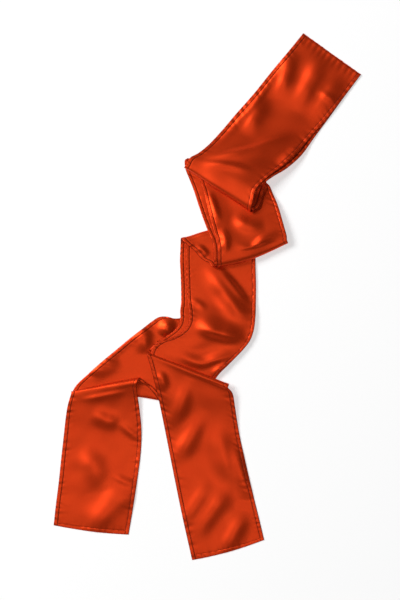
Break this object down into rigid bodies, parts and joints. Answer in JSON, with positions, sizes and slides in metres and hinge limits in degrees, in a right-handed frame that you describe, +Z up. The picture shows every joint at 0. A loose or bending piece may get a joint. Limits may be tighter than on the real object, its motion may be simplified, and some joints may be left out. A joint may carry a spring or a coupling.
{
  "type": "satin scarf",
  "caption": "Long narrow satin scarf, doubled end to end and laid flat in loose zigzag folds, its plain hemmed tails parted.",
  "frame": {"origin": "middle of the laid scarf's outline, on the surface it lies on", "axes": "+Z up from the surface, +Y from the two tails towards the doubled end, +X to the right as seen from above"},
  "size_m": [0.3197, 0.5479, 0.0181],
  "materials": {
    "satin": "burnt orange double-faced satin, glossy along its folds, with narrow machine-stitched hems"
  },
  "bodies": {
    "root": {"upper_top_panel": "satin", "upper_first_roll": "satin", "upper_first_tuck": "satin", "upper_second_panel": "satin", "upper_second_roll": "satin", "upper_second_return": "satin", "upper_second_tuck": "satin", "upper_third_panel": "satin", "upper_bend": "satin", "upper_tail_pleat": "satin", "upper_tail": "satin", "lower_top_panel": "satin", "lower_first_roll": "satin", "lower_first_tuck": "satin", "lower_second_panel": "satin", "lower_second_roll": "satin", "lower_second_return": "satin", "lower_second_tuck": "satin", "lower_third_panel": "satin", "lower_bend": "satin", "lower_hidden_tuck": "satin", "lower_crossing": "satin", "lower_tail_pleat": "satin", "lower_tail": "satin"}
  },
  "joints": []
}
